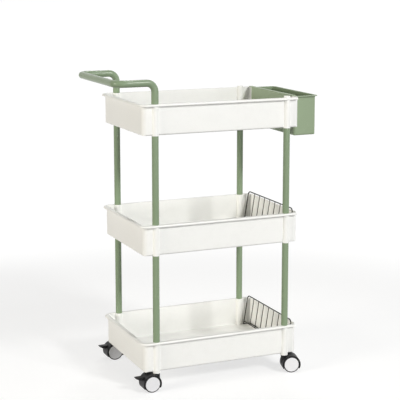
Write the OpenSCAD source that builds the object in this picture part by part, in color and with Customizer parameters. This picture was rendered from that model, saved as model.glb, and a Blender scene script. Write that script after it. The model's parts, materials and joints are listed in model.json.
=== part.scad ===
// Three-tier rolling cart: moulded trays on steel posts, a bent push handle,
// a bin hooked over the top rim, leaning wire dividers and twin-wheel casters.
// X runs along the trays with the handle at -X and the bin at +X, Y runs across
// from the front to the rear, and Z is up from the floor.

/* [Trays] */
// Length of a tray outside its end walls
tray_l = 478; // [420:1:560]
// Width of a tray outside its long walls
tray_w = 316; // [280:1:380]
// Height of a tray from its underside to its rim
tray_h = 86; // [76:1:120]
// Thickness of a tray's walls
tray_wall = 2.2; // [1.8:0.1:3]
// Thickness of a tray's floor
tray_floor = 2.5; // [2:0.1:4]
// Outside radius of a tray's upright corners
corner_r = 16; // [12:1:24]
// Outside radius along a tray's bottom edge
bottom_r = 5; // [4:0.5:8]
// Width of the rim outside the walls
rim_out = 9.5; // [8:0.5:14]
// Height of the rim's turned-down lip
rim_lip = 6; // [5:0.5:10]
// Thickness of the rim and of its lip
rim_t = 2.2; // [1.8:0.1:2.6]
// Radius of the roll along the rim's outer edge
rim_roll = 4; // [3:0.5:5]
// Distance from the bin's end wall to where the rim stops
rim_stop = 8; // [4:0.5:11]
// Rise from one tray's underside to the next
tier_rise = 334.4; // [280:0.2:400]
// Height of the bottom tray's underside above the floor
ride_h = 54; // [54:0.5:70]

/* [Posts] */
// Diameter of the steel posts
post_d = 19; // [18:0.5:19.5]
// Diameter of a post's necked end
neck_d = 16.6; // [15:0.1:16.8]
// Length of a post's necked end
neck_l = 36; // [24:1:38]
// Thickness of the tube walls
tube_t = 1.2; // [1:0.1:1.6]
// Distance from a tray's end wall to the post axis
post_end = 38; // [32:1:60]
// Distance from a tray's long wall to the post axis
post_side = 3; // [1:0.5:5]
// Diameter of a tray's post columns
column_d = 20.6; // [20.4:0.1:22]
// How far a column stands out below its tray
column_foot = 1; // [0.5:0.1:2]
// Height of a post cap above the rim
cap_h = 4.5; // [3:0.5:8]
// Length of a post cap's plug
plug_l = 20; // [12:1:34]

/* [Push handle] */
// Diameter of the handle's tube
handle_d = 20; // [19.5:0.1:20.5]
// Height of the tube's axis above the top rim
handle_rise = 57.6; // [48:0.2:90]
// Reach of the crossbar from the post axes
handle_reach = 111; // [80:1:150]
// Radius of the tube's bends at its axis
handle_bend = 24; // [16:1:34]

/* [Hanging bin] */
// Length of the bin away from the tray
bin_l = 72; // [50:1:100]
// Width of the bin along the tray's end
bin_w = 272; // [200:1:290]
// Height of the bin
bin_h = 115; // [80:1:150]
// Thickness of the bin's walls and floor
bin_wall = 2.2; // [1.8:0.1:3]
// Outside radius of the bin's upright corners
bin_r = 8; // [7:0.5:12]
// Outside radius along the bin's bottom edge
bin_bottom_r = 7; // [3:0.5:7]
// Width of the bin's flange
bin_flange = 6.5; // [4:0.5:9]
// Offset of the bin towards the rear
bin_offset = 12; // [0:1:14]
// Drop of the bin's flange below the tray's rim
bin_drop = 1.2; // [0:0.2:6]
// Width of the flap inside the tray
hook_w = 248; // [120:1:256]
// Depth of the hook's flap below the rim
hook_depth = 42; // [20:1:60]
// Distance from the tray's end wall in to the flap
hook_in = 6.8; // [4:0.2:10]

/* [Wire dividers] */
// Diameter of the divider's frame wire
frame_wire = 3.4; // [3:0.1:4]
// Diameter of the divider's cross wires
cross_wire = 2.4; // [2:0.1:3]
// Width of the divider between its side wires
divider_w = 297; // [240:1:300]
// Height of the top wire's axis above the rim
divider_rise = 9; // [6:1:24]
// Lean of the divider towards the end wall
divider_lean = 9; // [4:0.5:10]
// Gap between the post columns and the divider
divider_gap = 0.6; // [0.4:0.1:2]
// Length of the divider's foot along the tray's floor
divider_foot = 20; // [12:0.5:20.5]
// Bend radius of the frame wire
divider_bend = 12; // [8:1:20]
// Spacing of the cross wires
cross_pitch = 34.3; // [24:0.1:40]
// Number of cross wires
cross_count = 7; // [3:2:7]

/* [Casters] */
// Diameter of the wheels
wheel_d = 48; // [44:1:48]
// Width of one wheel
wheel_w = 13.5; // [11:0.5:15]
// Distance from the swivel axis to the axle
trail = 19; // [18:0.5:24]
// Thickness of the web between the wheels
web_t = 12; // [12:0.2:16]
// Thickness of the caster's hood
hood_wall = 2; // [1.6:0.1:2.4]
// Gap between a wheel and the hood
wheel_gap = 1; // [0.8:0.1:1.2]
// How far the hood reaches below the axle's level
hood_reach = 12; // [6:0.5:14]
// Diameter of the axle
axle_d = 5; // [4:0.5:6]
// Diameter of the swivel stem
stem_d = 8; // [7:0.5:9]
// Length of the stem inside the tray's socket
stem_l = 32; // [24:1:36]
// Diameter of the sleeve round the stem
sleeve_d = 11; // [10.4:0.1:12]
// Diameter of the white hub covers
hub_d = 42; // [34:1:43]
// Outward turn of the front and rear casters at the bin's end
caster_turn = 15; // [0:1:40]
// Reach of the brake pedal from the swivel axis
pedal_reach = 65; // [58:1:72]
// Width of the brake pedal
pedal_w = 16; // [10:1:24]
// Travel of the brake pedal in degrees
pedal_travel = 15; // [8:1:18]

/* [Fits] */
// Radial gap where a plug or neck sits in its socket
seat_gap = 0.05; // [0.02:0.01:0.1]
// Radial gap where a piece turns on its pin
run_gap = 0.05; // [0.02:0.01:0.1]
// Gap between neighbours that don't touch
clear_gap = 0.3; // [0.3:0.05:0.5]

/* [Hidden] */
$fn = 72;

// Colours
tray_white = [0.95, 0.95, 0.92];
sage = [0.57, 0.64, 0.5];
wire_grey = [0.28, 0.3, 0.27];
caster_black = [0.09, 0.09, 0.1];
hub_white = [0.9, 0.9, 0.92];
steel = [0.7, 0.71, 0.73];

cut = 1;                    // how far a cutter runs past a face
tray_z = [ride_h, ride_h + tier_rise, ride_h + 2 * tier_rise];
rim_z = tray_z[2] + tray_h;

// Post axes, measured from the middle of the trays
post_x = tray_l / 2 - post_end;
post_y = tray_w / 2 - post_side;
bore_d = neck_d - 2 * tube_t;
neck_room = 1;              // free depth below a neck in its socket
socket_d = neck_d + 2 * seat_gap;
socket_h = neck_l + neck_room;
post_l = tier_rise - tray_h - column_foot;
cap_round = 1.5;            // radius round a cap's top

// Hook of the bin
bin_x = tray_l / 2 + clear_gap;
bin_z = rim_z - bin_drop - bin_h;
hook_top = rim_z + clear_gap + bin_wall;
hook_r = 10;                // radius of the flap's lower corners

// Wire dividers
frame_r = frame_wire / 2;
cross_r = cross_wire / 2;
side_y = divider_w / 2 - frame_r;
divider_x = post_x + column_d / 2 + divider_gap + frame_r;
divider_z = tray_floor + clear_gap + cross_r;
upright_lift = 0.4;         // how far the uprights end above the foot's lowest point
upright_low = frame_r - cross_r + upright_lift;
low_wire = 8;               // lowest cross wire, up the panel
foot_bend = 6;              // bend radius of the foot's loop
panel_h = (tray_h + divider_rise - divider_z) / cos(divider_lean);

// Caster stack, from the floor up
wheel_r = wheel_d / 2;
tyre_round = 1.6;
cavity_r = wheel_r + wheel_gap;
hood_r = cavity_r + hood_wall;
side_gap = 0.5;             // between the web and each wheel
wheel_y = web_t / 2 + side_gap;
caster_w = 2 * (wheel_y + wheel_w);
hood_rim = 0.5;             // how far the hood stands out past the wheels
hood_w = caster_w + 2 * hood_rim;
hood_low = wheel_r - hood_reach;
collar_foot = 4;            // how far the bottom tray's collars hang below it
collar_wall = 5.4;          // wall of a collar round its sleeve
collar_d = sleeve_d + 2 * collar_wall;
collar_room = 0.7;          // radial room for the collar over the hood
flange_t = 1;
flange_d = 15;
boss_top = ride_h - collar_foot - flange_t - clear_gap;
boss_d = 19;
boss_rise = 2;              // from the axle's level up to the boss's lower end
boss_low = wheel_r + boss_rise;
stem_rise = 10;             // from the axle's level up to the stem's lower end
stem_low = wheel_r + stem_rise;
sleeve_t = (sleeve_d - stem_d) / 2 - seat_gap;
sleeve_over = 2;            // how far the sleeve reaches past the stem's upper end
sleeve_h = stem_l + sleeve_over;
sleeve_room = 1;            // free depth above the sleeve in its socket
hub_t = 2;
hub_proud = 0.4;            // how far a hub cover stands out past its wheel
hub_round = 1;
hub_ring_d = 26;
hub_groove_r = 0.6;
axle_l = caster_w - 2 * (hub_t + clear_gap);

// Brake pedal, hinged on a pin between the web's cheeks
pivot_r = 17;               // from the axle to the pin
pivot_angle = 150;
pedal_eye_d = 7.4;
pedal_neck_t = 7.4;
pedal_neck_h = 4.6;
pin_d = 2.6;
slot_w = pedal_neck_t + 2 * clear_gap;
pedal_room = 1.2;           // between the hood and the pedal's blade
pedal_blade_in = hood_r + pedal_room - pivot_r;
pedal_root_h = 10;
pedal_belly_h = 7.5;        // depth of the blade where its beak begins
pedal_beak = 0.47;          // the beak's share of the blade's length
pedal_tip_h = 2.4;
pedal_tip_z = 43;

// The handle and the bin reach out by different amounts, so the trays sit off
// the middle by half the difference, and the origin is under the whole cart.
left_reach = post_x + handle_reach + handle_d / 2;
right_reach = bin_x + bin_l + bin_flange;
middle_x = (left_reach - right_reach) / 2;

left_front = ["front_left", -1, -1];
left_rear = ["rear_left", -1, 1];
right_front = ["front_right", 1, -1];
right_rear = ["rear_right", 1, 1];
corners = [left_front, right_front, left_rear, right_rear];

module in_cart(z = 0) {
    translate([middle_x, 0, z]) children();
}

module at_corner(corner) {
    translate([corner[1] * post_x, corner[2] * post_y, 0]) children();
}

module at_corners() {
    for (corner = corners) at_corner(corner) children();
}

// ---- Shared shapes ----

module rounded_outline(l, w, r) {
    square([l - 2 * r, w], center = true);
    square([l, w - 2 * r], center = true);
    for (x = [-1, 1], y = [-1, 1])
        translate([x * (l / 2 - r), y * (w / 2 - r)]) circle(r);
}

// Upright section with both lower corners rounded
module tub_section(l, h, r) {
    translate([-l / 2, r]) square([l, h - r]);
    translate([-l / 2 + r, 0]) square([l - 2 * r, h]);
    for (x = [-1, 1]) translate([x * (l / 2 - r), r]) circle(r);
}

// Block with rounded upright corners and a rounded bottom edge
module tub(l, w, h, r, edge_r) {
    intersection() {
        linear_extrude(h) rounded_outline(l, w, r);
        rotate([90, 0, 0])
            linear_extrude(w + 2 * cut, center = true) tub_section(l, h, edge_r);
        rotate([90, 0, 90])
            linear_extrude(l + 2 * cut, center = true) tub_section(w, h, edge_r);
    }
}

// Section swept round a rounded rectangle; its x runs outwards from the outline
module rim_sweep(l, w, r) {
    for (side = [0, 1]) mirror([side, 0, 0])
        translate([l / 2, w / 2 - r, 0]) rotate([90, 0, 0])
            linear_extrude(w - 2 * r) children();
    for (side = [0, 1]) mirror([0, side, 0])
        translate([-l / 2 + r, w / 2, 0]) rotate([90, 0, 90])
            linear_extrude(l - 2 * r) children();
    for (x = [0, 1], y = [0, 1]) mirror([x, 0, 0]) mirror([0, y, 0])
        translate([l / 2 - r, w / 2 - r, 0])
            rotate_extrude(angle = 90) translate([r, 0]) children();
}

module ring_outline(outer_d, inner_d) {
    difference() {
        circle(d = outer_d);
        circle(d = inner_d);
    }
}

module tube(outer_d, inner_d, h) {
    linear_extrude(h) ring_outline(outer_d, inner_d);
}

// ---- Trays ----

// Rim that runs out from the wall and rolls down into a lip
module rim_section() {
    translate([-tray_wall, -rim_t]) square([rim_out - rim_roll + tray_wall, rim_t]);
    translate([rim_out - rim_t, -rim_lip + rim_t / 2]) square([rim_t, rim_lip - rim_roll - rim_t / 2]);
    translate([rim_out - rim_t / 2, -rim_lip + rim_t / 2]) circle(d = rim_t);
    translate([rim_out - rim_roll, -rim_roll]) intersection() {
        ring_outline(2 * rim_roll, 2 * (rim_roll - rim_t));
        square(rim_roll);
    }
}

// The rim's section filled in, for the plates that close its ends
module rim_end_section() {
    translate([-tray_wall, -rim_lip]) square([rim_out - rim_roll + tray_wall, rim_lip]);
    translate([0, -rim_lip]) square([rim_out, rim_lip - rim_roll]);
    translate([rim_out - rim_roll, -rim_roll]) intersection() {
        circle(rim_roll);
        square(rim_roll);
    }
}

// Rim that stops short of the end wall on the bin's side, with both its ends closed
module tray_rim() {
    rim_end = tray_l / 2 - rim_stop;
    intersection() {
        rim_sweep(tray_l, tray_w, corner_r) rim_section();
        translate([rim_end - 2 * tray_l, -tray_w, -rim_lip - cut])
            cube([2 * tray_l, 2 * tray_w, rim_lip + 2 * cut]);
    }
    intersection() {
        rim_sweep(tray_l, tray_w, corner_r) rim_end_section();
        translate([rim_end - rim_t, -tray_w, -rim_lip - cut])
            cube([rim_t, 2 * tray_w, rim_lip + 2 * cut]);
    }
}

module tray_shell(foot_h, foot_d) {
    difference() {
        tub(tray_l, tray_w, tray_h, corner_r, bottom_r);
        translate([0, 0, tray_floor])
            tub(tray_l - 2 * tray_wall, tray_w - 2 * tray_wall, tray_h,
                corner_r - tray_wall, bottom_r - tray_wall);
    }
    translate([0, 0, tray_h]) tray_rim();
    at_corners() cylinder(d = column_d, h = tray_h);
    at_corners() translate([0, 0, -foot_h]) cylinder(d = foot_d, h = foot_h + bottom_r);
}

module post_sockets() {
    at_corners() translate([0, 0, tray_h - socket_h]) cylinder(d = socket_d, h = socket_h + cut);
}

// Tray with a post above and a post below each corner
module upper_tray() {
    color(tray_white) difference() {
        tray_shell(column_foot, column_d);
        post_sockets();
        at_corners() translate([0, 0, -column_foot - cut])
            cylinder(d = socket_d, h = socket_h + cut);
    }
}

// Tray with a post above and a caster's sleeve below each corner
module caster_tray() {
    color(tray_white) difference() {
        tray_shell(collar_foot, collar_d);
        post_sockets();
        at_corners() translate([0, 0, -collar_foot - cut])
            cylinder(d = sleeve_d + 2 * seat_gap, h = sleeve_h + sleeve_room + cut);
    }
}

module tray_bottom() {
    in_cart(tray_z[0]) caster_tray();
}

module tray_middle() {
    in_cart(tray_z[1]) upper_tray();
}

module tray_top() {
    in_cart(tray_z[2]) upper_tray();
}

// ---- Posts and caps ----

// Tube with a narrower neck beyond each shoulder and the necks' bore right through
module post() {
    through_l = post_l + 2 * neck_l;
    color(sage) difference() {
        union() {
            cylinder(d = post_d, h = post_l);
            translate([0, 0, -neck_l]) cylinder(d = neck_d, h = through_l);
        }
        translate([0, 0, -neck_l - cut]) cylinder(d = bore_d, h = through_l + 2 * cut);
        translate([0, 0, tube_t]) cylinder(d = post_d - 2 * tube_t, h = post_l - 2 * tube_t);
    }
}

module post_lower(corner) {
    in_cart(tray_z[0] + tray_h) at_corner(corner) post();
}

module post_upper(corner) {
    in_cart(tray_z[1] + tray_h) at_corner(corner) post();
}

module post_cap(corner) {
    color(tray_white) in_cart(rim_z) at_corner(corner) {
        cylinder(d = post_d, h = cap_h - cap_round);
        translate([0, 0, cap_h - cap_round]) rotate_extrude() cap_edge();
        translate([0, 0, -plug_l]) cylinder(d = neck_d, h = plug_l);
    }
}

// Half section of a cap's rounded top
module cap_edge() {
    square([post_d / 2 - cap_round, cap_round]);
    translate([post_d / 2 - cap_round, 0]) intersection() {
        circle(cap_round);
        square(cap_round);
    }
}

// ---- Push handle ----

module handle_outline() {
    ring_outline(handle_d, handle_d - 2 * tube_t);
}

// Quarter bend about the origin, from +X round to +Y
module handle_bend_piece() {
    rotate_extrude(angle = 90) translate([handle_bend, 0]) handle_outline();
}

// Neck, leg, arm and both bends at the front; the crossbar starts where they end
module handle_side() {
    mirror([0, 0, 1]) tube(neck_d, bore_d, neck_l);
    tube(handle_d, bore_d, tube_t);
    translate([0, 0, tube_t]) linear_extrude(handle_rise - handle_bend - tube_t) handle_outline();
    translate([-handle_bend, 0, handle_rise - handle_bend]) rotate([90, 0, 0]) handle_bend_piece();
    translate([-handle_bend, 0, handle_rise]) rotate([0, -90, 0])
        linear_extrude(handle_reach - 2 * handle_bend) handle_outline();
    translate([handle_bend - handle_reach, handle_bend, handle_rise])
        rotate(180) handle_bend_piece();
}

module push_handle() {
    color(sage) in_cart(rim_z) {
        for (side = [0, 1]) mirror([0, side, 0]) translate([-post_x, -post_y, 0]) handle_side();
        translate([-post_x - handle_reach, handle_bend - post_y, handle_rise]) rotate([-90, 0, 0])
            linear_extrude(2 * (post_y - handle_bend)) handle_outline();
    }
}

// ---- Hanging bin ----

// Flange round three sides, cut off flush on the tray's side
module bin_flange_outline() {
    intersection() {
        rounded_outline(bin_l + 2 * bin_flange, bin_w + 2 * bin_flange, bin_r + bin_flange);
        translate([-bin_l / 2, -bin_w]) square([2 * bin_l, 2 * bin_w]);
    }
}

// Back wall above the flange, plate over the rim and flap inside the tray
module bin_hook() {
    flap_x = tray_l / 2 - hook_in;
    flap_h = hook_depth + bin_wall + clear_gap;
    plate_w = bin_w + 2 * bin_flange;
    translate([bin_x, -plate_w / 2, rim_z - bin_drop - bin_wall])
        cube([bin_wall, plate_w, bin_drop + bin_wall + clear_gap + bin_wall]);
    translate([flap_x - bin_wall, -plate_w / 2, hook_top - bin_wall])
        cube([bin_x - flap_x + 2 * bin_wall, plate_w, bin_wall]);
    translate([flap_x - bin_wall, 0, hook_top - flap_h]) rotate([90, 0, 90])
        linear_extrude(bin_wall) tub_section(hook_w, flap_h, hook_r);
}

module hanging_bin() {
    color(sage) in_cart() translate([0, bin_offset, 0]) {
        translate([bin_x + bin_l / 2, 0, bin_z]) difference() {
            union() {
                tub(bin_l, bin_w, bin_h, bin_r, bin_bottom_r);
                translate([0, 0, bin_h - bin_wall]) linear_extrude(bin_wall) bin_flange_outline();
            }
            translate([0, 0, bin_wall])
                tub(bin_l - 2 * bin_wall, bin_w - 2 * bin_wall, bin_h,
                    bin_r - bin_wall, bin_bottom_r - bin_wall);
        }
        bin_hook();
    }
}

// ---- Wire dividers ----

// Straight wire along +Z from the origin
module wire(d, l) {
    cylinder(d = d, h = l);
}

// Quarter bend of a wire about the origin, from +X round to +Y
module wire_bend(d, r) {
    rotate_extrude(angle = 90) translate([r, 0]) circle(d = d);
}

// Upright and top corner of the frame on the +Y side, with z up the panel
module panel_side() {
    translate([0, side_y, upright_low]) {
        sphere(d = frame_wire);
        wire(frame_wire, panel_h - divider_bend - upright_low);
    }
    translate([0, side_y - divider_bend, panel_h - divider_bend])
        rotate([90, 0, 90]) wire_bend(frame_wire, divider_bend);
}

// Panel of cross wires inside its frame, upright at the origin
module panel() {
    for (side = [0, 1]) mirror([0, side, 0]) panel_side();
    translate([0, divider_bend - side_y, panel_h]) rotate([-90, 0, 0])
        wire(frame_wire, 2 * (side_y - divider_bend));
    translate([0, -side_y, low_wire]) rotate([-90, 0, 0]) wire(cross_wire, 2 * side_y);
    for (i = [0 : cross_count - 1])
        translate([0, (i - (cross_count - 1) / 2) * cross_pitch, low_wire])
            wire(cross_wire, panel_h - low_wire);
}

// Loop on the tray's floor that keeps the panel standing
module panel_foot() {
    for (side = [0, 1]) mirror([0, side, 0]) {
        translate([-frame_r, side_y, 0]) rotate([0, 90, 0])
            wire(cross_wire, divider_foot - foot_bend + frame_r);
        translate([divider_foot - foot_bend, side_y - foot_bend, 0])
            wire_bend(cross_wire, foot_bend);
    }
    translate([divider_foot, foot_bend - side_y, 0]) rotate([-90, 0, 0])
        wire(cross_wire, 2 * (side_y - foot_bend));
}

module wire_divider(tray) {
    color(wire_grey) in_cart(tray_z[tray] + divider_z) translate([divider_x, 0, 0]) {
        rotate([0, divider_lean, 0]) panel();
        panel_foot();
    }
}

module wire_divider_bottom() {
    wire_divider(0);
}

module wire_divider_middle() {
    wire_divider(1);
}

// ---- Casters ----

// Casters at the handle's end trail straight back; the others are turned outwards.
function caster_yaw(corner) = corner[1] < 0 ? 0 : 180 + corner[2] * caster_turn;

// Side of a caster, along its own y, that faces the outside of the cart
function outer_side(corner) = -corner[1] * corner[2];

// A caster's own frame: swivel axis on z, trailing towards -X
module in_caster(corner) {
    in_cart() at_corner(corner) rotate(caster_yaw(corner)) children();
}

// Frame with its z along the axle and its origin in the middle of the axle
module on_axle() {
    translate([-trail, 0, wheel_r]) rotate([90, 0, 0]) children();
}

module stem(corner) {
    color(steel) in_caster(corner) {
        translate([0, 0, stem_low]) cylinder(d = stem_d, h = ride_h - collar_foot + stem_l - stem_low);
        translate([0, 0, boss_top + clear_gap]) cylinder(d = flange_d, h = flange_t);
    }
}

module sleeve(corner) {
    color(hub_white) in_caster(corner) translate([0, 0, ride_h - collar_foot])
        tube(sleeve_d, sleeve_d - 2 * sleeve_t, sleeve_h);
}

// Point of the pedal: along and across its neck from the pin, as pressed by angle
function pedal_point(along, across, pressed = 0) =
    let (a = pivot_angle + pressed)
    [pivot_r * cos(pivot_angle) + along * cos(a) - across * sin(a),
     pivot_r * sin(pivot_angle) + along * sin(a) + across * cos(a)];

// Room in the web and the hood for the pedal's eye and neck over its travel
module pedal_slot() {
    half_h = pedal_neck_h / 2 + clear_gap;
    translate(pedal_point(0, 0)) circle(d = pedal_eye_d + 2 * clear_gap);
    polygon([
        pedal_point(0, -half_h), pedal_point(hood_r, -half_h),
        pedal_point(hood_r, half_h, pedal_travel), pedal_point(0, half_h, pedal_travel),
    ]);
}

module hood(corner) {
    braked = corner[1] < 0;
    color(caster_black) in_caster(corner) difference() {
        union() {
            on_axle() cylinder(r = hood_r, h = hood_w, center = true);
            translate([0, 0, boss_low]) cylinder(d = boss_d, h = boss_top - boss_low);
        }
        on_axle() for (side = [0, 1]) mirror([0, 0, side])
            translate([0, 0, web_t / 2]) cylinder(r = cavity_r, h = hood_w);
        on_axle() cylinder(d = axle_d + 2 * seat_gap, h = hood_w, center = true);
        translate([-trail - hood_r - cut, -hood_w, hood_low - hood_r])
            cube([2 * (hood_r + cut), 2 * hood_w, hood_r]);
        translate([0, 0, boss_top]) cylinder(d = collar_d + 2 * collar_room, h = hood_r);
        translate([0, 0, stem_low - clear_gap]) cylinder(d = stem_d + 2 * run_gap, h = hood_r);
        if (braked) on_axle() {
            linear_extrude(slot_w, center = true) pedal_slot();
            translate(pedal_point(0, 0))
                cylinder(d = pin_d + 2 * seat_gap, h = hood_w, center = true);
        }
    }
}

module axle(corner) {
    color(steel) in_caster(corner) on_axle() cylinder(d = axle_d, h = axle_l, center = true);
}

module wheel_half_section() {
    intersection() {
        rounded_outline(wheel_d, wheel_w, tyre_round);
        translate([0, -wheel_w]) square([wheel_d, 2 * wheel_w]);
    }
}

// In a wheel's own frame z runs outwards along the axle from the web
module on_wheel(side) {
    on_axle() rotate([side < 0 ? 0 : 180, 0, 0]) translate([0, 0, wheel_y]) children();
}

module wheel(corner, side) {
    color(caster_black) in_caster(corner) on_wheel(side) difference() {
        translate([0, 0, wheel_w / 2]) rotate_extrude() wheel_half_section();
        translate([0, 0, -cut]) cylinder(d = axle_d + 2 * run_gap, h = wheel_w + 2 * cut);
        translate([0, 0, wheel_w - hub_t]) cylinder(d = hub_d + 2 * seat_gap, h = hub_t + cut);
    }
}

// Rounded outer edge and a shallow ring groove in the face
module hub_half_section() {
    face_z = hub_t + hub_proud;
    difference() {
        union() {
            square([hub_d / 2 - hub_round, face_z]);
            square([hub_d / 2, face_z - hub_round]);
            translate([hub_d / 2 - hub_round, face_z - hub_round]) circle(hub_round);
        }
        translate([hub_ring_d / 2, face_z]) circle(hub_groove_r);
    }
}

module hub_cover(corner, side) {
    color(hub_white) in_caster(corner) on_wheel(side)
        translate([0, 0, wheel_w - hub_t]) rotate_extrude() hub_half_section();
}

// Side view of the blade outside the hood, ending in a beak with a round tip
module pedal_blade() {
    half_neck = pedal_neck_h / 2;
    root = pedal_point(pedal_blade_in, half_neck);
    tip = [trail - pedal_reach + pedal_tip_h / 2, pedal_tip_z - wheel_r];
    belly = [tip[0] + pedal_beak * (root[0] - tip[0]), tip[1] + pedal_tip_h / 2 - pedal_belly_h];
    polygon([
        pedal_point(pedal_blade_in, half_neck - pedal_root_h),
        tip + [0, pedal_tip_h / 2],
        tip - [0, pedal_tip_h / 2],
        belly,
        root,
    ]);
    translate(tip) circle(d = pedal_tip_h);
}

module pedal_neck() {
    half_neck = pedal_neck_h / 2;
    translate(pedal_point(0, 0)) circle(d = pedal_eye_d);
    polygon([
        pedal_point(0, -half_neck), pedal_point(pedal_blade_in + cut, -half_neck),
        pedal_point(pedal_blade_in + cut, half_neck), pedal_point(0, half_neck),
    ]);
}

module brake_pedal(corner) {
    color(caster_black) in_caster(corner) on_axle() difference() {
        union() {
            linear_extrude(pedal_neck_t, center = true) pedal_neck();
            linear_extrude(pedal_w, center = true) pedal_blade();
        }
        translate(pedal_point(0, 0)) cylinder(d = pin_d + 2 * run_gap, h = hood_w, center = true);
    }
}

module brake_pin(corner) {
    color(steel) in_caster(corner) on_axle()
        translate(pedal_point(0, 0)) cylinder(d = pin_d, h = web_t, center = true);
}

// ---- Nodes ----

tray_bottom();
tray_middle();
tray_top();
push_handle();
hanging_bin();
wire_divider_bottom();
wire_divider_middle();
post_cap(right_front);  // post_cap_front
post_cap(right_rear);  // post_cap_rear
brake_pedal(left_front);  // brake_pedal_front
brake_pedal(left_rear);  // brake_pedal_rear
brake_pin(left_front);  // brake_pin_front
brake_pin(left_rear);  // brake_pin_rear

for (corner = corners) {
    post_lower(corner);
    post_upper(corner);
    stem(corner);
    sleeve(corner);
    hood(corner);
    axle(corner);
    for (side = [["_inner", -1], ["_outer", 1]]) {
        own_side = side[1] * outer_side(corner);
        wheel(corner, own_side);
        hub_cover(corner, own_side);
    }
}
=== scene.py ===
import json
import math
import bmesh
import bpy
from mathutils import Matrix, Vector

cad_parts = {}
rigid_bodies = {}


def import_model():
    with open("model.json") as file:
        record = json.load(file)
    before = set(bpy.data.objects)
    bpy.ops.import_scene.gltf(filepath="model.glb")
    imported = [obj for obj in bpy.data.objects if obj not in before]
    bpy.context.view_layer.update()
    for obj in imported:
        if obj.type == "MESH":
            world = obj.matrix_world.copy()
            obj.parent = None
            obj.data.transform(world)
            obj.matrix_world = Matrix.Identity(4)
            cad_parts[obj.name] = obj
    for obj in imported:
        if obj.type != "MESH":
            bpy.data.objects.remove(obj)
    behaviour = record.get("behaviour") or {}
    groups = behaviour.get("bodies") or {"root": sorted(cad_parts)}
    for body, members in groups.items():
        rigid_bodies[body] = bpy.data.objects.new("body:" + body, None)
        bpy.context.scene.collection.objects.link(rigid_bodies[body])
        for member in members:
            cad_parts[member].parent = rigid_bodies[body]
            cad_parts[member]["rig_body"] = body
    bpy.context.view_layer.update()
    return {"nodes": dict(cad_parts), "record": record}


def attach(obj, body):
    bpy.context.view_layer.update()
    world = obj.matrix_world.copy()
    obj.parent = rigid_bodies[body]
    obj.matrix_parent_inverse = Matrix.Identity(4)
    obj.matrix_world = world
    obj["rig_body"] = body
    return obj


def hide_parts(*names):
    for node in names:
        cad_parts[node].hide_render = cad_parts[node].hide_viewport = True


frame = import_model()
nodes = frame["nodes"]
mm = 0.001
corners = ["front_left", "front_right", "rear_left", "rear_right"]
sides = ["outer", "inner"]
wireEndAngle = 84      # degrees, how far a wire's round end closes
mergeGap = 0.002 * mm
flatAngle = 0.7        # degrees, faces flatter than this are joined
seamGap = 0.0001 * mm


def newGroup(name, inputs, outputs):
    group = bpy.data.node_groups.new(name, "ShaderNodeTree")
    for label, kind, value in inputs:
        socket = group.interface.new_socket(name=label, in_out="INPUT", socket_type=kind)
        socket.default_value = value
    for label, kind in outputs:
        group.interface.new_socket(name=label, in_out="OUTPUT", socket_type=kind)
    start = group.nodes.new("NodeGroupInput")
    end = group.nodes.new("NodeGroupOutput")
    return group, start, end


def addNoise(tree, vector, scale, detail=2.0, roughness=0.5):
    noise = tree.nodes.new("ShaderNodeTexNoise")
    noise.inputs["Detail"].default_value = detail
    noise.inputs["Roughness"].default_value = roughness
    if isinstance(scale, (int, float)):
        noise.inputs["Scale"].default_value = scale
    else:
        tree.links.new(scale, noise.inputs["Scale"])
    tree.links.new(vector, noise.inputs["Vector"])
    return noise.outputs["Fac"]


def addMath(tree, operation, first, second, clamp=False):
    node = tree.nodes.new("ShaderNodeMath")
    node.operation = operation
    node.use_clamp = clamp
    for socket, value in zip(node.inputs, (first, second)):
        if isinstance(value, (int, float)):
            socket.default_value = value
        else:
            tree.links.new(value, socket)
    return node.outputs[0]


def addRange(tree, value, low, high, toLow, toHigh):
    node = tree.nodes.new("ShaderNodeMapRange")
    node.interpolation_type = "SMOOTHSTEP"
    tree.links.new(value, node.inputs["Value"])
    for label, number in (("From Min", low), ("From Max", high), ("To Min", toLow), ("To Max", toHigh)):
        node.inputs[label].default_value = number
    return node.outputs["Result"]


def addMix(tree, factor, first, second):
    node = tree.nodes.new("ShaderNodeMix")
    node.data_type = "RGBA"
    tree.links.new(factor, node.inputs["Factor"])
    for label, value in (("A", first), ("B", second)):
        socket = [i for i in node.inputs if i.name == label and i.type == "RGBA"][0]
        if isinstance(value, tuple):
            socket.default_value = value
        else:
            tree.links.new(value, socket)
    return [o for o in node.outputs if o.type == "RGBA"][0]


def objectCoordinates(tree):
    return tree.nodes.new("ShaderNodeTexCoord").outputs["Object"]


print("stage: camera, light and floor")

cameraSettings = {
    "place": (-1.39475, -3.2164, 1.1965),
    "turn": 0.4095,      # radians from +Y towards +X
    "dip": 0.1698,
    "lens": 109.86,
    "sensor": 36,
    "shiftY": -0.08,
    "farEnd": 60,
}

lightSettings = {      # power in watts, sizes and places in metres
    "key": {"power": 238, "size": 1.1, "place": (2.2, -4.9, 3.6), "color": (1.0, 1.0, 1.0)},
    "side": {"power": 60, "size": 2.4, "place": (6.6, -3.9, 2.3), "color": (1.0, 1.0, 1.0)},
    "fill": {"power": 222, "size": 2.0, "place": (-5.65, -0.9, 1.7), "color": (1.0, 0.955, 0.875)},
    "front": {"power": 80, "size": 1.2, "place": (0.9, -6.0, 0.5), "color": (1.0, 1.0, 1.0)},
    "top": {"power": 24, "size": 0.6, "place": (0.94, 1.55, 3.55), "color": (1.0, 1.0, 1.0)},
}
lampAim = (0, 0, 0.42)
worldStrength = 0.1

floorSettings = {      # lengths in metres
    "size": 60, "cells": 8, "color": (0.38, 0.38, 0.375, 1), "roughness": 0.85, "specular": 0.1,
    "nearLift": 0.68, "fadeStart": 0.7, "fadeEnd": 2.2,
}


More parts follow.
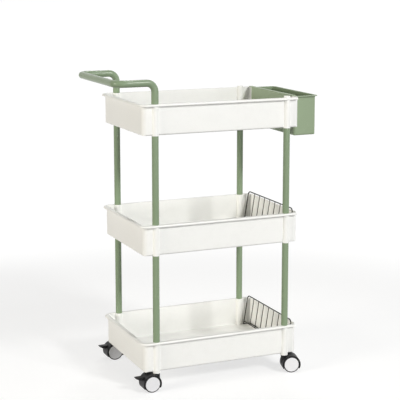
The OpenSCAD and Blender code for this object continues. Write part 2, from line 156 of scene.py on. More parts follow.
def setCamera():
    s = cameraSettings
    data = bpy.data.cameras.new("camera")
    data.lens = s["lens"]
    data.sensor_width = s["sensor"]
    data.shift_y = s["shiftY"]
    data.clip_end = s["farEnd"]
    camera = bpy.data.objects.new("camera", data)
    camera.location = s["place"]
    camera.rotation_euler = (math.pi / 2 - s["dip"], 0, -s["turn"])
    bpy.context.scene.collection.objects.link(camera)
    bpy.context.scene.camera = camera


def addAreaLight(name, look):
    data = bpy.data.lights.new(name, "AREA")
    data.energy = look["power"]
    data.size = look["size"]
    data.color = look["color"]
    light = bpy.data.objects.new(name, data)
    light.location = look["place"]
    aim = Vector(lampAim) - light.location
    light.rotation_euler = aim.to_track_quat("-Z", "Y").to_euler()
    bpy.context.scene.collection.objects.link(light)


def backgroundRays(tree):
    # camera, glossy and transmission rays see the pale background
    path = tree.nodes.new("ShaderNodeLightPath")
    seen = addMath(tree, "MAXIMUM", path.outputs["Is Camera Ray"], path.outputs["Is Glossy Ray"])
    return addMath(tree, "MAXIMUM", seen, path.outputs["Is Transmission Ray"])


def setWorld():
    world = bpy.data.worlds.new("studio")
    bpy.context.scene.world = world
    world.use_nodes = True
    tree = world.node_tree
    background = tree.nodes["Background"]
    background.inputs["Color"].default_value = (1, 1, 1, 1)
    strength = tree.nodes.new("ShaderNodeMapRange")
    strength.inputs["To Min"].default_value = worldStrength
    strength.inputs["To Max"].default_value = 1
    tree.links.new(backgroundRays(tree), strength.inputs["Value"])
    tree.links.new(strength.outputs["Result"], background.inputs["Strength"])


def addFloor():
    # pale floor near the object that fades into the white background
    s = floorSettings
    bm = bmesh.new()
    bmesh.ops.create_grid(bm, x_segments=s["cells"], y_segments=s["cells"], size=s["size"] / 2)
    mesh = bpy.data.meshes.new("floor")
    bm.to_mesh(mesh)
    bm.free()
    floor = bpy.data.objects.new("floor", mesh)
    bpy.context.scene.collection.objects.link(floor)
    material = bpy.data.materials.new("paleFloor")
    material.use_nodes = True
    tree = material.node_tree
    shader = tree.nodes["Principled BSDF"]
    shader.inputs["Roughness"].default_value = s["roughness"]
    shader.inputs["Specular IOR Level"].default_value = s["specular"]
    shader.inputs["Emission Color"].default_value = (1, 1, 1, 1)
    reach = tree.nodes.new("ShaderNodeVectorMath")
    reach.operation = "LENGTH"
    tree.links.new(objectCoordinates(tree), reach.inputs[0])
    fade = addRange(tree, reach.outputs["Value"], s["fadeStart"], s["fadeEnd"], 0.0, 1.0)
    tree.links.new(addMix(tree, fade, s["color"], (0, 0, 0, 1)), shader.inputs["Base Color"])
    lift = addRange(tree, fade, 0.0, 1.0, s["nearLift"], 1.0)
    shown = addMath(tree, "MULTIPLY", lift, backgroundRays(tree))
    tree.links.new(shown, shader.inputs["Emission Strength"])
    mesh.materials.append(material)


bpy.context.scene.view_settings.view_transform = "Standard"
setCamera()
setWorld()
addFloor()
for lamp in lightSettings:
    addAreaLight(lamp, lightSettings[lamp])


print("stage: materials")

grainSettings = {"fineDetail": 3.0, "fineRoughness": 0.6, "waveDetail": 1.0, "pitLow": 0.38, "pitHigh": 0.5}
driftSettings = {"detail": 3.0, "roughness": 0.55, "low": 0.35, "high": 0.68}
# scuffs, and the convex edges that get a painted highlight
wearAndHighlightSettings = {
    "turn": (0.3, 0.5, 0.7), "stretch": (1, 9, 1), "lineDetail": 4.0, "lineRoughness": 0.7,
    "lineLow": 0.6, "lineHigh": 0.72, "patchScale": 11.0, "patchDetail": 2.0, "patchLow": 0.5,
    "patchHigh": 0.66, "edgeLow": 0.52, "edgeHigh": 0.62, "breakLow": 0.3, "breakHigh": 0.6,
    "breakLeast": 0.4, "scuffRough": 0.3, "edgeRough": -0.12,
}


def makeGrainGroup():
    # fine grain of a moulded or sprayed skin: a height, and a mask of its pits, where painted shade goes
    s = grainSettings
    group, start, end = newGroup(
        "skinGrain",
        [("Grain Scale", "NodeSocketFloat", 1500.0), ("Wave Scale", "NodeSocketFloat", 160.0),
         ("Wave Share", "NodeSocketFloat", 0.3)],
        [("Height", "NodeSocketFloat"), ("Pits", "NodeSocketFloat")])
    place = objectCoordinates(group)
    fine = addNoise(group, place, start.outputs["Grain Scale"], s["fineDetail"], s["fineRoughness"])
    wave = addNoise(group, place, start.outputs["Wave Scale"], s["waveDetail"])
    waveHeight = addMath(group, "MULTIPLY", wave, start.outputs["Wave Share"])
    height = addMath(group, "ADD", fine, waveHeight)
    group.links.new(height, end.inputs["Height"])
    pits = addRange(group, fine, s["pitLow"], s["pitHigh"], 1.0, 0.0)
    group.links.new(pits, end.inputs["Pits"])
    return group


def makeToneGroup():
    # slow changes of tone over a piece, with painted shade that darkens the pits of the grain
    s = driftSettings
    group, start, end = newGroup(
        "toneDrift",
        [("Color", "NodeSocketColor", (0.8, 0.8, 0.8, 1)),
         ("Drift Color", "NodeSocketColor", (0.7, 0.7, 0.7, 1)),
         ("Drift Scale", "NodeSocketFloat", 9.0), ("Drift", "NodeSocketFloat", 0.5),
         ("Pits", "NodeSocketFloat", 0.0), ("Pit Shade", "NodeSocketFloat", 0.1)],
        [("Color", "NodeSocketColor"), ("Drift", "NodeSocketFloat")])
    place = objectCoordinates(group)
    cloud = addNoise(group, place, start.outputs["Drift Scale"], s["detail"], s["roughness"])
    slow = addRange(group, cloud, s["low"], s["high"], 0.0, 1.0)
    share = addMath(group, "MULTIPLY", slow, start.outputs["Drift"])
    toned = addMix(group, share, start.outputs["Color"], start.outputs["Drift Color"])
    # painted shade: the pits of the grain mixed towards black
    pitShadeShare = addMath(group, "MULTIPLY", start.outputs["Pits"], start.outputs["Pit Shade"])
    group.links.new(addMix(group, pitShadeShare, toned, (0.0, 0.0, 0.0, 1)), end.inputs["Color"])
    group.links.new(slow, end.inputs["Drift"])
    return group


def makeWearAndHighlightGroup():
    # handling marks: fine, sparse scuffs, and a painted highlight that lightens convex edges, which are also
    # made less rough
    s = wearAndHighlightSettings
    group, start, end = newGroup(
        "wearAndEdgeHighlight",
        [("Scuff Scale", "NodeSocketFloat", 30.0), ("Scuffs", "NodeSocketFloat", 0.3),
         ("Edges", "NodeSocketFloat", 0.3)],
        [("Edge Highlight Mask", "NodeSocketFloat"), ("Scuff Mask", "NodeSocketFloat")])
    place = objectCoordinates(group)
    stretch = group.nodes.new("ShaderNodeMapping")
    stretch.inputs["Rotation"].default_value = s["turn"]
    stretch.inputs["Scale"].default_value = s["stretch"]
    group.links.new(place, stretch.inputs["Vector"])
    streaks = addNoise(
        group, stretch.outputs["Vector"], start.outputs["Scuff Scale"], s["lineDetail"], s["lineRoughness"])
    patches = addNoise(group, place, s["patchScale"], s["patchDetail"])
    lines = addRange(group, streaks, s["lineLow"], s["lineHigh"], 0.0, 1.0)
    where = addRange(group, patches, s["patchLow"], s["patchHigh"], 0.0, 1.0)
    scuffs = addMath(group, "MULTIPLY", lines, where)
    group.links.new(addMath(group, "MULTIPLY", scuffs, start.outputs["Scuffs"]), end.inputs["Scuff Mask"])
    shape = group.nodes.new("ShaderNodeNewGeometry")
    # convex edges, later painted lighter as a highlight, with breaks along the streaks
    convex = addRange(group, shape.outputs["Pointiness"], s["edgeLow"], s["edgeHigh"], 0.0, 1.0)
    breaks = addRange(group, streaks, s["breakLow"], s["breakHigh"], s["breakLeast"], 1.0)
    brokenHighlight = addMath(group, "MULTIPLY", convex, breaks)
    group.links.new(addMath(group, "MULTIPLY", brokenHighlight, start.outputs["Edges"]), end.inputs["Edge Highlight Mask"])
    return group


grainGroup = makeGrainGroup()
toneGroup = makeToneGroup()
wearAndHighlightGroup = makeWearAndHighlightGroup()


def placeGroup(tree, group, values):
    node = tree.nodes.new("ShaderNodeGroup")
    node.node_tree = group
    for label, value in values.items():
        node.inputs[label].default_value = value
    return node


def finishMaterial(name, look):
    # one recipe of grain, tone, wear and painted edge highlight with each finish's own values
    material = bpy.data.materials.new(name)
    material.use_nodes = True
    tree = material.node_tree
    shader = tree.nodes["Principled BSDF"]
    grain = placeGroup(tree, grainGroup, {
        "Grain Scale": look["grainScale"], "Wave Scale": look["waveScale"],
        "Wave Share": look["waveShare"]})
    tone = placeGroup(tree, toneGroup, {
        "Color": (*look["color"], 1), "Drift Color": (*look["driftColor"], 1),
        "Drift Scale": look["driftScale"], "Drift": look["drift"], "Pit Shade": look["pitShade"]})
    tree.links.new(grain.outputs["Pits"], tone.inputs["Pits"])
    wearAndHighlight = placeGroup(tree, wearAndHighlightGroup, {
        "Scuff Scale": look["scuffScale"], "Scuffs": look["scuffs"], "Edges": look["edges"]})
    # painted highlight: convex edges mixed towards a lighter edge colour
    edgeHighlighted = addMix(tree, wearAndHighlight.outputs["Edge Highlight Mask"], tone.outputs["Color"], (*look["edgeHighlightColor"], 1))
    scuffed = addMix(tree, wearAndHighlight.outputs["Scuff Mask"], edgeHighlighted, (*look["scuffColor"], 1))
    tree.links.new(scuffed, shader.inputs["Base Color"])
    dullest = look["roughness"] + look["roughDrift"]
    base = addRange(tree, tone.outputs["Drift"], 0.0, 1.0, look["roughness"], dullest)
    scuffRough = addMath(tree, "MULTIPLY", wearAndHighlight.outputs["Scuff Mask"], wearAndHighlightSettings["scuffRough"])
    edgeRough = addMath(tree, "MULTIPLY", wearAndHighlight.outputs["Edge Highlight Mask"], wearAndHighlightSettings["edgeRough"])
    roughness = addMath(tree, "ADD", addMath(tree, "ADD", base, scuffRough), edgeRough, clamp=True)
    tree.links.new(roughness, shader.inputs["Roughness"])
    bump = tree.nodes.new("ShaderNodeBump")
    bump.inputs["Strength"].default_value = look["bump"]
    bump.inputs["Distance"].default_value = look["bumpDistance"]
    tree.links.new(grain.outputs["Height"], bump.inputs["Height"])
    tree.links.new(bump.outputs["Normal"], shader.inputs["Normal"])
    shader.inputs["Metallic"].default_value = look["metallic"]
    shader.inputs["IOR"].default_value = look["ior"]
    return material


# edges is the share of the painted highlight on convex edges
plainLook = {
    "grainScale": 1500.0, "waveScale": 160.0, "waveShare": 0.3, "driftScale": 7.0, "drift": 0.6,
    "pitShade": 0.05, "scuffScale": 30.0, "scuffs": 0.2, "edges": 0.2, "roughness": 0.4,
    "roughDrift": 0.06, "bump": 0.25, "bumpDistance": 0.0002, "metallic": 0.0, "ior": 1.5,
}

# what each finish changes from the plain look; its edge colour is a painted highlight on convex edges
looks = {
    "trayPlastic": {
        "color": (0.885, 0.885, 0.855), "driftColor": (0.868, 0.867, 0.833), "edgeHighlightColor": (0.93, 0.93, 0.9),
        "scuffColor": (0.8, 0.79, 0.75), "grainScale": 1700.0, "roughness": 0.36, "scuffs": 0.12,
        "edges": 0.5},
    "sagePaint": {
        "color": (0.247, 0.325, 0.205), "driftColor": (0.235, 0.31, 0.195), "edgeHighlightColor": (0.4, 0.49, 0.34),
        "scuffColor": (0.4, 0.47, 0.35), "grainScale": 1900.0, "waveScale": 420.0, "waveShare": 0.6,
        "roughness": 0.15, "bump": 0.05, "edges": 0.3, "ior": 1.3},
    "sagePlastic": {
        "color": (0.27, 0.345, 0.215), "driftColor": (0.257, 0.33, 0.205), "edgeHighlightColor": (0.42, 0.5, 0.35),
        "scuffColor": (0.4, 0.47, 0.34), "grainScale": 1500.0, "roughness": 0.42},
    "darkWire": {
        "color": (0.018, 0.02, 0.016), "driftColor": (0.028, 0.03, 0.025), "edgeHighlightColor": (0.05, 0.052, 0.046),
        "scuffColor": (0.06, 0.06, 0.055), "grainScale": 2200.0, "driftScale": 26.0, "roughness": 0.4,
        "ior": 1.3},
    "casterNylon": {
        "color": (0.008, 0.008, 0.009), "driftColor": (0.012, 0.012, 0.013),
        "edgeHighlightColor": (0.03, 0.03, 0.031),
        "scuffColor": (0.06, 0.06, 0.06), "grainScale": 1900.0, "driftScale": 30.0, "roughness": 0.42,
        "edges": 0.6, "pitShade": 0.2, "ior": 1.3},
    "wheelTread": {
        "color": (0.016, 0.016, 0.017), "driftColor": (0.026, 0.026, 0.025),
        "edgeHighlightColor": (0.05, 0.05, 0.049),
        "scuffColor": (0.12, 0.115, 0.105), "grainScale": 1300.0, "driftScale": 45.0, "roughness": 0.55,
        "roughDrift": 0.15, "scuffs": 0.4, "edges": 0.5, "bump": 0.4, "ior": 1.35},
    "hubPlastic": {
        "color": (0.82, 0.82, 0.835), "driftColor": (0.79, 0.79, 0.81), "edgeHighlightColor": (0.9, 0.9, 0.91),
        "scuffColor": (0.7, 0.7, 0.71), "grainScale": 2400.0, "driftScale": 40.0, "roughness": 0.28},
    "plainSteel": {
        "color": (0.6, 0.6, 0.61), "driftColor": (0.5, 0.5, 0.51), "edgeHighlightColor": (0.75, 0.75, 0.75),
        "scuffColor": (0.4, 0.4, 0.4), "grainScale": 2600.0, "roughness": 0.3, "metallic": 1.0, "edges": 0.3},
    "sleeveNylon": {
        "color": (0.8, 0.79, 0.75), "driftColor": (0.77, 0.76, 0.71), "edgeHighlightColor": (0.86, 0.86, 0.83),
        "scuffColor": (0.6, 0.59, 0.56), "roughness": 0.45},
}
materials = {name: finishMaterial(name, {**plainLook, **look}) for name, look in looks.items()}

slotMaterials = {
    "tray_plastic": "trayPlastic", "cap_plastic": "trayPlastic", "painted_tube": "sagePaint",
    "bin_plastic": "sagePlastic", "divider_wire": "darkWire", "caster_plastic": "casterNylon",
    "wheel_rubber": "wheelTread", "hub_plastic": "hubPlastic", "steel": "plainSteel",
    "sleeve_plastic": "sleeveNylon",
}
slotOf = {row["node"]: row["material_slot"] for row in frame["record"]["subparts"]}


def dressNode(name):
    # a carried-over node keeps its mesh and takes its slot's finish
    mesh = nodes[name].data
    mesh.materials.clear()
    mesh.materials.append(materials[slotMaterials[slotOf[name]]])


for name in nodes:
    dressNode(name)


# the cart's own layout in metres, as its solids have it
postX = 0.201
postY = 0.155
middleX = 0.0021
rimTop = 0.8088
trayLow = [0.054, 0.3884, 0.7228]
trayHeight = 0.086
cornerPlace = {
    "front_left": (middleX - postX, -postY), "front_right": (middleX + postX, -postY),
    "rear_left": (middleX - postX, postY), "rear_right": (middleX + postX, postY),
}


def finishPiece(name, bm, node, smoothAngle=38):
    # mesh object at the origin that rides on the node's body and stands for it
    mesh = bpy.data.meshes.new(name)
    bm.to_mesh(mesh)
    bm.free()
    mesh.shade_smooth()
    mesh.set_sharp_from_angle(angle=math.radians(smoothAngle))
    piece = bpy.data.objects.new(name, mesh)
    bpy.context.scene.collection.objects.link(piece)
    mesh.materials.append(materials[slotMaterials[slotOf[node]]])
    modifier = piece.modifiers.new("evenNormals", "WEIGHTED_NORMAL")
    modifier.keep_sharp = True
    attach(piece, nodes[node]["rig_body"])
    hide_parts(node)


def softenedCopy(node, width, segments, angle=50, clamp=False):
    # the node's own shape, cleaned and with its hard edges rounded
    bm = bmesh.new()
    bm.from_mesh(nodes[node].data)
    bmesh.ops.remove_doubles(bm, verts=bm.verts, dist=mergeGap)
    bmesh.ops.dissolve_limit(
        bm, angle_limit=math.radians(flatAngle), verts=bm.verts, edges=bm.edges, delimit={"NORMAL"})
    hard = [e for e in bm.edges if e.calc_face_angle(0) > math.radians(angle)]
    bmesh.ops.bevel(
        bm, geom=hard, offset=width, offset_type="OFFSET", segments=segments, profile=0.5,
        affect="EDGES", clamp_overlap=clamp, material=-1)
    return bm


def filletOutline(outline, steps=5):
    # closed outline of (across, along, radius) corners with its corners rounded
    points = []
    count = len(outline)
    for i, (x, y, radius) in enumerate(outline):
        here = Vector((x, y))
        if radius == 0:
            points.append(here)
            continue
        back = (Vector(outline[i - 1][:2]) - here).normalized()
        ahead = (Vector(outline[(i + 1) % count][:2]) - here).normalized()
        half = back.angle(ahead) / 2
        centre = here + (back + ahead).normalized() * radius / math.sin(half)
        first = here + back * radius / math.tan(half) - centre
        last = here + ahead * radius / math.tan(half) - centre
        turn = first.angle_signed(last)
        for step in range(steps + 1):
            spoke = first.copy()
            spoke.rotate(Matrix.Rotation(-turn * step / steps, 2))
            points.append(centre + spoke)
    return points


def latheSolid(outline, steps, matrix):
    # solid turned round its own z from an outline given in millimetres
    bm = bmesh.new()
    ring = [bm.verts.new((max(point.x, 0) * mm, 0, point.y * mm)) for point in filletOutline(outline)]
    pairs = zip(ring, ring[1:] + ring[:1])
    edges = [bm.edges.new(pair) for pair in pairs if max(pair[0].co.x, pair[1].co.x) > seamGap]
    bmesh.ops.spin(
        bm, geom=ring + edges, cent=(0, 0, 0), axis=(0, 0, 1), angle=2 * math.pi, steps=steps, use_merge=True)
    bmesh.ops.remove_doubles(bm, verts=bm.verts, dist=seamGap)
    bmesh.ops.recalc_face_normals(bm, faces=bm.faces)
    bmesh.ops.transform(bm, matrix=matrix, verts=bm.verts)
    return bm


def ringEdges(verts):
    # edges that join the given points to each other
    inside = set(verts)
    return list({e for v in verts for e in v.link_edges if e.verts[0] in inside and e.verts[1] in inside})


def startRing(bm, radius, segments, place, facing):
    # first ring of a wire or tube that is pushed and turned along its way
    turn = Vector(facing).to_track_quat("Z", "Y").to_matrix().to_4x4()
    made = bmesh.ops.create_circle(
        bm, cap_ends=False, radius=radius, segments=segments, matrix=Matrix.Translation(place) @ turn)
    return made["verts"]


def pushRing(bm, verts, vector, ratio=1.0):
    # carries the ring on by a vector and scales it about its own centre
    made = bmesh.ops.extrude_edge_only(bm, edges=ringEdges(verts))["geom"]
    new = [g for g in made if isinstance(g, bmesh.types.BMVert)]
    bmesh.ops.translate(bm, verts=new, vec=vector)
    if ratio != 1.0:
        centre = sum((v.co for v in new), Vector()) / len(new)
        for v in new:
            v.co = centre + (v.co - centre) * ratio
    return new


def turnRing(bm, verts, centre, axis, degrees, steps):
    # carries the ring round a bend
    made = bmesh.ops.spin(
        bm, geom=ringEdges(verts), cent=centre, axis=axis, angle=math.radians(degrees), steps=steps)
    return [g for g in made["geom_last"] if isinstance(g, bmesh.types.BMVert)]


def closeRing(bm, verts):
    bmesh.ops.contextual_create(bm, geom=ringEdges(verts))


def roundEnd(bm, verts, direction, radius, steps=3):
    # half-round end of a wire
    before = 1.0
    height = 0.0
    for step in range(1, steps + 1):
        angle = math.radians(wireEndAngle) * step / steps
        rise = radius * math.sin(angle)
        ratio = math.cos(angle)
        verts = pushRing(bm, verts, Vector(direction) * (rise - height), ratio / before)
        before, height = ratio, rise
    closeRing(bm, verts)


print("stage: trays")

# the overlap clamp holds the trays' rounding far below this width
traySettings = {"edge": 0.8 * mm, "segments": 3, "hardAngle": 30}
for tray in ("tray_top", "tray_middle", "tray_bottom"):
    moulding = softenedCopy(
        tray, traySettings["edge"], traySettings["segments"], traySettings["hardAngle"], clamp=True)
    finishPiece(tray + "_moulding", moulding, tray)


print("stage: posts and caps")

postSettings = {      # lengths in millimetres
    "radius": 9.5, "bore": 8.3, "neck": 8.3, "neckBore": 7.1, "neckLength": 36, "length": 247.4,
    "shoulder": 0.5, "shoulderStep": 0.01, "endRound": 0.4, "boreStep": 1.2, "steps": 56,
}
capSettings = {      # lengths in millimetres
    "radius": 9.5, "height": 4.5, "round": 1.5, "seatRound": 0.3, "seatStep": 0.01,
    "plug": 8.3, "plugLength": 20, "plugRound": 0.8,
    "dish": 0.25, "dishRim": 3.2, "dishRound": 0.6, "dishShare": 0.2, "steps": 56,
}


def addPost(name, x, y, z):
    # tube with a narrower neck at each end
    s = postSettings
    low, high = -s["neckLength"], s["length"] + s["neckLength"]
    boreLow, boreHigh = s["boreStep"], s["length"] - s["boreStep"]
    outline = [
        (s["neck"], low, s["endRound"]), (s["neck"], -s["shoulderStep"], 0),
        (s["radius"], 0, s["shoulder"]), (s["radius"], s["length"], s["shoulder"]),
        (s["neck"], s["length"] + s["shoulderStep"], 0), (s["neck"], high, s["endRound"]),
        (s["neckBore"], high, 0), (s["neckBore"], boreHigh, 0), (s["bore"], boreHigh, 0),
        (s["bore"], boreLow, 0), (s["neckBore"], boreLow, 0), (s["neckBore"], low, 0)]
    bm = latheSolid(outline, s["steps"], Matrix.Translation((x, y, z)))
    finishPiece(name + "_tube", bm, name)


def addCap(name, x, y):
    # button with a faint dish on top and a plug below
    s = capSettings
    outline = [
        (0, -s["plugLength"], 0), (s["plug"], -s["plugLength"], s["plugRound"]),
        (s["plug"], -s["seatStep"], 0), (s["radius"], 0, s["seatRound"]),
        (s["radius"], s["height"], s["round"]),
        (s["radius"] - s["dishRim"], s["height"] - s["dish"] * s["dishShare"], s["dishRound"]),
        (0, s["height"] - s["dish"], 0)]
    bm = latheSolid(outline, s["steps"], Matrix.Translation((x, y, rimTop)))
    finishPiece(name + "_button", bm, name)


for corner in corners:
    x, y = cornerPlace[corner]
    addPost("post_lower_" + corner, x, y, trayLow[0] + trayHeight)
    addPost("post_upper_" + corner, x, y, trayLow[1] + trayHeight)
addCap("post_cap_front", *cornerPlace["front_right"])
addCap("post_cap_rear", *cornerPlace["rear_right"])


print("stage: push handle")

handleSettings = {      # lengths in metres
    "radius": 0.01, "neck": 0.0083, "neckLength": 0.036, "rise": 0.0576, "reach": 0.111,
    "bend": 0.024, "lip": 0.0005, "lipShare": 0.05, "segments": 48, "bendSteps": 16,
}


def addHandle():
    # one tube from the front socket, round the crossbar, to the rear socket
    s = handleSettings
    bm = bmesh.new()
    x = middleX - postX
    legRise = s["rise"] - s["bend"]
    arm = s["reach"] - 2 * s["bend"]
    grow = s["radius"] / s["neck"]
    start = grow - s["lipShare"]
    lip = s["lip"]
    ring = startRing(bm, s["neck"] - lip, s["segments"], (x, -postY, rimTop - s["neckLength"]), (0, 0, 1))
    closeRing(bm, ring)
    ring = pushRing(bm, ring, (0, 0, lip), s["neck"] / (s["neck"] - lip))
    ring = pushRing(bm, ring, (0, 0, s["neckLength"] - lip))
    ring = pushRing(bm, ring, (0, 0, 0), start)
    ring = pushRing(bm, ring, (0, 0, lip), grow / start)
    ring = pushRing(bm, ring, (0, 0, legRise - lip))
    top = rimTop + s["rise"]
    ring = turnRing(bm, ring, (x - s["bend"], -postY, top - s["bend"]), (0, 1, 0), -90, s["bendSteps"])
    ring = pushRing(bm, ring, (-arm, 0, 0))
    ring = turnRing(bm, ring, (x - s["bend"] - arm, s["bend"] - postY, top), (0, 0, 1), -90, s["bendSteps"])
    ring = pushRing(bm, ring, (0, 2 * (postY - s["bend"]), 0))
    ring = turnRing(bm, ring, (x - s["bend"] - arm, postY - s["bend"], top), (0, 0, 1), -90, s["bendSteps"])
    ring = pushRing(bm, ring, (arm, 0, 0))
    ring = turnRing(bm, ring, (x - s["bend"], postY, top - s["bend"]), (0, 1, 0), 90, s["bendSteps"])
    ring = pushRing(bm, ring, (0, 0, lip - legRise))
    ring = pushRing(bm, ring, (0, 0, -lip), start / grow)
    ring = pushRing(bm, ring, (0, 0, 0), 1 / start)
    ring = pushRing(bm, ring, (0, 0, lip - s["neckLength"]))
    ring = pushRing(bm, ring, (0, 0, -lip), (s["neck"] - lip) / s["neck"])
    closeRing(bm, ring)
    bmesh.ops.recalc_face_normals(bm, faces=bm.faces)
    finishPiece("push_handle_tube", bm, "push_handle")


addHandle()


print("stage: hanging bin")

binSettings = {"edge": 0.3 * mm, "segments": 3}
binMoulding = softenedCopy("hanging_bin", binSettings["edge"], binSettings["segments"])
finishPiece("hanging_bin_moulding", binMoulding, "hanging_bin")


print("stage: wire dividers")

dividerSettings = {      # lengths in millimetres, the lean in degrees, the place in metres
    "place": (middleX + 0.2136, 0, 0.004), "lean": 9, "height": 92.134, "side": 146.8, "frame": 1.7,
    "cross": 1.2, "bend": 12, "foot": 20, "footBend": 6, "low": 8, "uprightLow": 0.9,
    "pitch": 34.3, "count": 7,
    "weld": 1.7, "weldInset": 0.9, "weldShape": (0.8, 1, 0.8, 1), "weldSegments": 12, "weldRings": 8,
}


def addWire(bm, start, direction, length, radius, segments=12):
    # straight wire with flat ends
    ring = startRing(bm, radius, segments, start, direction)
    back = ring
    ring = pushRing(bm, ring, Vector(direction) * length)
    closeRing(bm, ring)
    closeRing(bm, back)


def addHoop(bm, start, rise, across, sink, bend, width, radius, ballEnds, steps=10, segments=14):
    # wire that runs along rise, turns across and comes back along the opposite way
    rise, across = Vector(rise), Vector(across)
    axis = rise.cross(across)
    ring = startRing(bm, radius, segments, start, rise)
    first = ring
    ring = pushRing(bm, ring, rise * sink)
    ring = turnRing(bm, ring, Vector(start) + rise * sink + across * bend, axis, 90, steps)
    ring = pushRing(bm, ring, across * width)
    ring = turnRing(bm, ring, Vector(start) + rise * sink + across * (bend + width), axis, 90, steps)
    ring = pushRing(bm, ring, -rise * sink)
    if ballEnds:
        roundEnd(bm, first, -rise, radius)
        roundEnd(bm, ring, -rise, radius)
    else:
        closeRing(bm, first)
        closeRing(bm, ring)


def addWeld(bm, place, radius):
    # small flattened blob where two wires cross
    s = dividerSettings
    shape = Matrix.Translation(place) @ Matrix.Diagonal(s["weldShape"])
    bmesh.ops.create_uvsphere(
        bm, u_segments=s["weldSegments"], v_segments=s["weldRings"], radius=radius, matrix=shape)


def addDivider(name, z):
    # leaning panel of upright wires, with a flat foot hoop below
    s = dividerSettings
    panel = bmesh.new()
    addHoop(
        panel, (0, -s["side"] * mm, s["uprightLow"] * mm), (0, 0, 1), (0, 1, 0),
        (s["height"] - s["bend"] - s["uprightLow"]) * mm, s["bend"] * mm,
        2 * (s["side"] - s["bend"]) * mm, s["frame"] * mm, True)
    addWire(panel, (0, -s["side"] * mm, s["low"] * mm), (0, 1, 0), 2 * s["side"] * mm, s["cross"] * mm)
    for side in (-1, 1):
        addWeld(panel, (0, side * (s["side"] - s["weldInset"]) * mm, s["low"] * mm), s["weld"] * mm)
    for i in range(s["count"]):
        y = (i - (s["count"] - 1) / 2) * s["pitch"] * mm
        addWire(panel, (0, y, s["low"] * mm), (0, 0, 1), (s["height"] - s["low"]) * mm, s["cross"] * mm)
        addWeld(panel, (0, y, s["low"] * mm), s["weld"] * mm)
        addWeld(panel, (0, y, (s["height"] - s["weldInset"]) * mm), s["weld"] * mm)
    bmesh.ops.rotate(
        panel, verts=panel.verts, cent=(0, 0, 0), matrix=Matrix.Rotation(math.radians(s["lean"]), 3, "Y"))
    addHoop(
        panel, (-s["frame"] * mm, -s["side"] * mm, 0), (1, 0, 0), (0, 1, 0),
        (s["foot"] - s["footBend"] + s["frame"]) * mm, s["footBend"] * mm,
        2 * (s["side"] - s["footBend"]) * mm, s["cross"] * mm, False)
    x, y, lift = s["place"]
    bmesh.ops.translate(panel, verts=panel.verts, vec=(x, y, z + lift))
    bmesh.ops.recalc_face_normals(panel, faces=panel.faces)
    finishPiece(name + "_wires", panel, name)


addDivider("wire_divider_bottom", trayLow[0])
addDivider("wire_divider_middle", trayLow[1])


print("stage: casters")

casterSettings = {      # lengths in metres, turns in degrees
    "turn": {"front_left": 0, "rear_left": 0, "front_right": 165, "rear_right": 195},
    "outer": {"front_left": -1, "rear_left": 1, "front_right": 1, "rear_right": -1},
    "trail": 0.019, "axle": 0.024, "wheelStart": 6.5 * mm,
    "hoodEdge": 0.15 * mm, "hoodSegments": 2, "pedalEdge": 0.3 * mm, "pedalSegments": 3,
}
wheelSettings = {      # lengths in millimetres
    "radius": 24, "width": 13.5, "shoulder": 1.6, "steps": 72,
    "bore": 2.55, "boss": 7.5, "rimInner": 19.6, "web": 1.4, "webSlope": 1, "webRound": 0.4,
    "seat": 21.05, "seatDepth": 2, "seatRound": 0.35,
    "grooves": (4.4, 9.1), "grooveWidth": 0.7, "grooveDepth": 0.5, "grooveLip": 0.15, "grooveRoot": 0.1,
}
hubSettings = {      # lengths in millimetres
    "radius": 21, "face": 2.4, "edgeRound": 0.9, "steps": 72,
    "rimBand": 2.6, "rimSlope": 0.4, "rimRound": 0.25, "field": 0.35,
    "ring": 13, "ringHalf": 1, "ringSlope": 0.3, "ringRise": 0.22, "ringRound": 0.2,
    "centre": 4.3, "centreSlope": 0.3, "centreRise": 0.25, "centreRound": 0.25, "crown": 0.32,
}


def casterMatrix(corner):
    x, y = cornerPlace[corner]
    turn = math.radians(casterSettings["turn"][corner])
    return Matrix.Translation((x, y, 0)) @ Matrix.Rotation(turn, 4, "Z")


def wheelMatrix(corner, side):
    # z runs outwards along the axle from the web
    s = casterSettings
    way = s["outer"][corner] * (1 if side == "outer" else -1)
    place = Matrix.Translation((-s["trail"], way * s["wheelStart"], s["axle"]))
    return casterMatrix(corner) @ place @ Matrix.Rotation(-way * math.pi / 2, 4, "X")


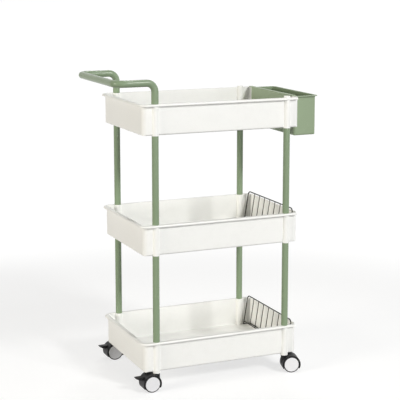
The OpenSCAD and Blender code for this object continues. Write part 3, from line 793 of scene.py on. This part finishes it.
def addWheel(corner, side):
    # tread with two grooves, a recessed web inside and a seat for the hub cover
    s = wheelSettings
    radius, width, boss, inner = s["radius"], s["width"], s["boss"], s["rimInner"]
    slope, turned = s["webSlope"], s["webRound"]
    outline = [
        (s["bore"], 0, 0), (boss, 0, turned), (boss + slope, s["web"], turned),
        (inner - slope, s["web"], turned), (inner, 0, turned), (radius, 0, s["shoulder"])]
    root = radius - s["grooveDepth"]
    for groove in s["grooves"]:
        low, high = groove - s["grooveWidth"] / 2, groove + s["grooveWidth"] / 2
        outline += [
            (radius, low, s["grooveLip"]), (root, low, s["grooveRoot"]),
            (root, high, s["grooveRoot"]), (radius, high, s["grooveLip"])]
    seatLevel = width - s["seatDepth"]
    outline += [
        (radius, width, s["shoulder"]), (s["seat"], width, s["seatRound"]),
        (s["seat"], seatLevel, 0), (s["bore"], seatLevel, 0)]
    node = "wheel_" + corner + "_" + side
    finishPiece(node + "_tyre", latheSolid(outline, s["steps"], wheelMatrix(corner, side)), node)


def addHub(corner, side):
    # disc with a raised rim band, a raised ring and a small centre button
    s = hubSettings
    radius, face, ring, half = s["radius"], s["face"], s["ring"], s["ringHalf"]
    field = face - s["field"]
    band = radius - s["rimBand"]
    foot, raised = half + s["ringSlope"], field + s["ringRise"]
    turned = s["ringRound"]
    outline = [
        (0, 0, 0), (radius, 0, 0), (radius, face, s["edgeRound"]), (band, face, s["rimRound"]),
        (band - s["rimSlope"], field, s["rimRound"]), (ring + foot, field, turned),
        (ring + half, raised, turned), (ring - half, raised, turned), (ring - foot, field, turned),
        (s["centre"] + s["centreSlope"], field, turned),
        (s["centre"], field + s["centreRise"], s["centreRound"]), (0, field + s["crown"], 0)]
    seatLevel = (wheelSettings["width"] - wheelSettings["seatDepth"]) * mm
    matrix = wheelMatrix(corner, side) @ Matrix.Translation((0, 0, seatLevel))
    node = "hub_cover_" + corner + "_" + side
    finishPiece(node + "_disc", latheSolid(outline, s["steps"], matrix), node, smoothAngle=30)


for corner in corners:
    hood = "hood_" + corner
    shell = softenedCopy(hood, casterSettings["hoodEdge"], casterSettings["hoodSegments"])
    finishPiece(hood + "_shell", shell, hood)
    for side in sides:
        addWheel(corner, side)
        addHub(corner, side)
for end in ("front", "rear"):
    pedal = "brake_pedal_" + end
    lever = softenedCopy(pedal, casterSettings["pedalEdge"], casterSettings["pedalSegments"])
    finishPiece(pedal + "_lever", lever, pedal)

print("stage: done")
